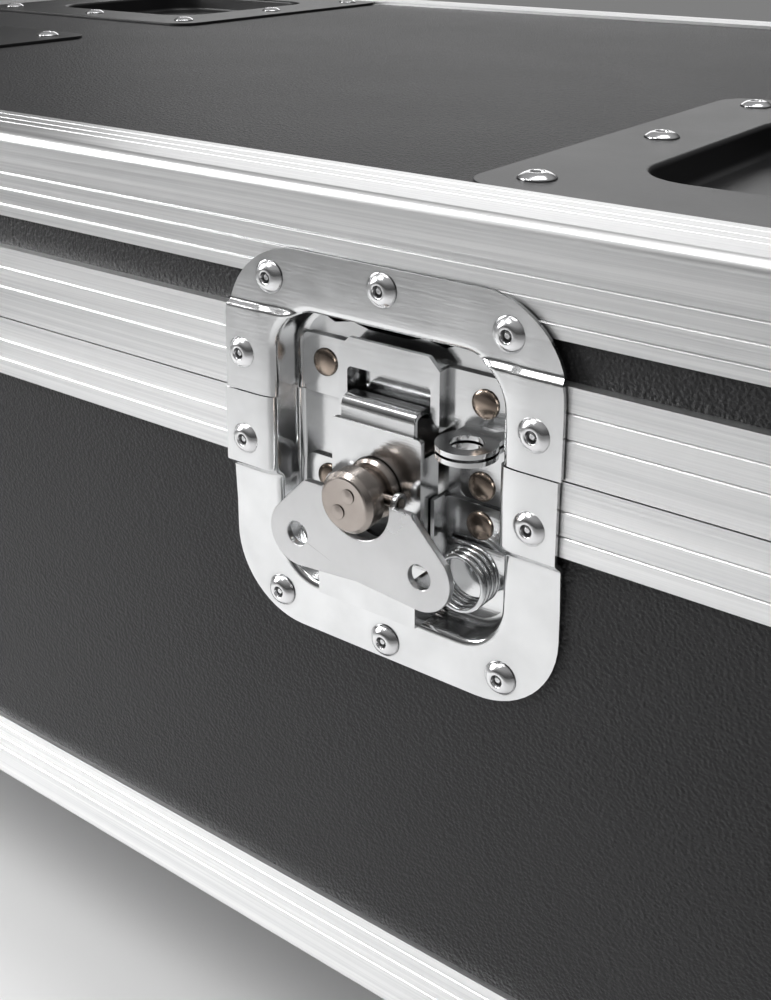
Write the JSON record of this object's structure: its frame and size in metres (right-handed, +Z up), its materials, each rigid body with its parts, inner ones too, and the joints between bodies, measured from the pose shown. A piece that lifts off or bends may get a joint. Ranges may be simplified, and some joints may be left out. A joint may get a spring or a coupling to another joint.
{
  "type": "flight case",
  "caption": "Laminated plywood flight case with a rear-hinged lid, aluminium edge and tongue-and-groove closure profiles, recessed twist latches, end handles, castors and lid cups.",
  "frame": {"origin": "centre of the case's footprint, on the floor under its castors", "axes": "+X to the right along the front, +Y to the rear hinges, +Z up; the latches face -Y"},
  "size_m": [0.7698, 0.5076, 0.3593],
  "materials": {
    "laminate": "fine leather-grain laminate",
    "aluminium_extrusion": "satin, drawn lengthwise",
    "zinc_corner": "bright zinc",
    "foam": "closed-cell foam",
    "bright_plate": "bright plated sheet steel",
    "satin_plate": "satin plated steel",
    "spring_wire": "bright wire",
    "knob_nickel": "turned, nickel plated",
    "rivet_silver": "bright domed",
    "rivet_bronzed": "dull, slightly brown",
    "black_steel": "smooth satin powder coat",
    "zinc_steel": "zinc plated",
    "castor_rubber": "matte tread",
    "grip_rubber": "matte moulded grip"
  },
  "bodies": {
    "case": {"body_front_panel": "laminate", "body_back_panel": "laminate", "body_left_panel": "laminate", "body_right_panel": "laminate", "floor_panel": "laminate", "bottom_edges": "aluminium_extrusion", "corner_edges": "aluminium_extrusion", "body_closure": "aluminium_extrusion", "body_ball_corners": "zinc_corner", "body_foam": "foam", "latch_lower_dishes": "bright_plate", "latch_hasps": "bright_plate", "latch_bases": "bright_plate", "latch_springs": "spring_wire", "latch_rivets_body": "rivet_silver", "small_rivets_body": "rivet_silver", "latch_studs_body": "rivet_bronzed", "handle_dish_left": "black_steel", "handle_dish_right": "black_steel", "castor_plates": "zinc_steel", "castor_bolts": "zinc_steel", "hinge_body_leaves": "zinc_steel", "hinge_pins": "zinc_steel"},
    "lid": {"lid_top_panel": "laminate", "lid_front_panel": "laminate", "lid_back_panel": "laminate", "lid_left_panel": "laminate", "lid_right_panel": "laminate", "lid_edges": "aluminium_extrusion", "lid_closure": "aluminium_extrusion", "lid_ball_corners": "zinc_corner", "lid_foam": "foam", "latch_upper_dishes": "bright_plate", "latch_keepers": "bright_plate", "latch_rivets_lid": "rivet_silver", "latch_studs_lid": "rivet_bronzed", "small_rivets_lid": "rivet_silver", "hinge_lid_leaves": "zinc_steel", "castor_cup_front_left": "black_steel", "castor_cup_front_right": "black_steel", "castor_cup_rear_left": "black_steel", "castor_cup_rear_right": "black_steel"},
    "spindle_left": {"latch_spindle_left": "knob_nickel"},
    "wing_left": {"latch_wing_left": "satin_plate"},
    "hook_left": {"latch_hook_left": "bright_plate"},
    "handle_left": {"handle_bail_left": "zinc_steel", "handle_sleeve_left": "grip_rubber"},
    "spindle_right": {"latch_spindle_right": "knob_nickel"},
    "wing_right": {"latch_wing_right": "satin_plate"},
    "hook_right": {"latch_hook_right": "bright_plate"},
    "handle_right": {"handle_bail_right": "zinc_steel", "handle_sleeve_right": "grip_rubber"},
    "swivel_front_left": {"castor_fork_front_left": "zinc_steel"},
    "wheel_front_left": {"castor_wheel_front_left": "castor_rubber"},
    "swivel_front_right": {"castor_fork_front_right": "zinc_steel"},
    "wheel_front_right": {"castor_wheel_front_right": "castor_rubber"},
    "swivel_rear_left": {"castor_fork_rear_left": "zinc_steel"},
    "wheel_rear_left": {"castor_wheel_rear_left": "castor_rubber"},
    "swivel_rear_right": {"castor_fork_rear_right": "zinc_steel"},
    "wheel_rear_right": {"castor_wheel_rear_right": "castor_rubber"}
  },
  "joints": [
    {"name": "lid_hinge", "type": "hinge", "parent": "case", "child": "lid", "pos_m": [0, 0.2479, 0.29315], "axis": [-1, 0, 0], "range_deg": [0, 100]},
    {"name": "key_turn_left", "type": "hinge", "parent": "case", "child": "spindle_left", "pos_m": [-0.1721, -0.2427, 0.2758], "axis": [0, -1, 0], "range_deg": [0, 180]},
    {"name": "wing_fold_left", "type": "hinge", "parent": "spindle_left", "child": "wing_left", "pos_m": [-0.1721, -0.2457, 0.2758], "axis": [-1, 0, 0], "range_deg": [0, 90]},
    {"name": "hook_lift_left", "type": "slide", "parent": "case", "child": "hook_left", "axis": [0, 0, 1], "range_m": [0, 0.00601], "stiffness_N_per_m": 0.05, "springref_m": 3.278},
    {"name": "key_turn_right", "type": "hinge", "parent": "case", "child": "spindle_right", "pos_m": [0.1679, -0.2427, 0.2758], "axis": [0, -1, 0], "range_deg": [0, 180]},
    {"name": "wing_fold_right", "type": "hinge", "parent": "spindle_right", "child": "wing_right", "pos_m": [0.1679, -0.2457, 0.2758], "axis": [-1, 0, 0], "range_deg": [0, 90]},
    {"name": "hook_lift_right", "type": "slide", "parent": "case", "child": "hook_right", "axis": [0, 0, 1], "range_m": [0, 0.00601], "stiffness_N_per_m": 0.05, "springref_m": 3.278},
    {"name": "handle_swing_left", "type": "hinge", "parent": "case", "child": "handle_left", "pos_m": [-0.3731, 0, 0.227], "axis": [0, 1, 0], "range_deg": [0, 90], "stiffness_Nm_per_rad": 0.06, "springref_deg": -28.65},
    {"name": "handle_swing_right", "type": "hinge", "parent": "case", "child": "handle_right", "pos_m": [0.3731, 0, 0.227], "axis": [0, -1, 0], "range_deg": [0, 90], "stiffness_Nm_per_rad": 0.06, "springref_deg": -28.65},
    {"name": "swivel_turn_front_left", "type": "hinge", "parent": "case", "child": "swivel_front_left", "pos_m": [-0.263, -0.123, 0.106], "axis": [0, 0, 1], "continuous": true},
    {"name": "wheel_roll_front_left", "type": "hinge", "parent": "swivel_front_left", "child": "wheel_front_left", "pos_m": [-0.29, -0.123, 0.04], "axis": [0, 1, 0], "continuous": true},
    {"name": "swivel_turn_front_right", "type": "hinge", "parent": "case", "child": "swivel_front_right", "pos_m": [0.263, -0.123, 0.106], "axis": [0, 0, 1], "continuous": true},
    {"name": "wheel_roll_front_right", "type": "hinge", "parent": "swivel_front_right", "child": "wheel_front_right", "pos_m": [0.236, -0.123, 0.04], "axis": [0, 1, 0], "continuous": true},
    {"name": "swivel_turn_rear_left", "type": "hinge", "parent": "case", "child": "swivel_rear_left", "pos_m": [-0.263, 0.123, 0.106], "axis": [0, 0, 1], "continuous": true},
    {"name": "wheel_roll_rear_left", "type": "hinge", "parent": "swivel_rear_left", "child": "wheel_rear_left", "pos_m": [-0.29, 0.123, 0.04], "axis": [0, 1, 0], "continuous": true},
    {"name": "swivel_turn_rear_right", "type": "hinge", "parent": "case", "child": "swivel_rear_right", "pos_m": [0.263, 0.123, 0.106], "axis": [0, 0, 1], "continuous": true},
    {"name": "wheel_roll_rear_right", "type": "hinge", "parent": "swivel_rear_right", "child": "wheel_rear_right", "pos_m": [0.236, 0.123, 0.04], "axis": [0, 1, 0], "continuous": true}
  ],
  "couplings": [
    {"joint": "hook_lift_left", "follows": "key_turn_left", "m_per_rad": 0.0019099},
    {"joint": "hook_lift_right", "follows": "key_turn_right", "m_per_rad": 0.0019099}
  ]
}
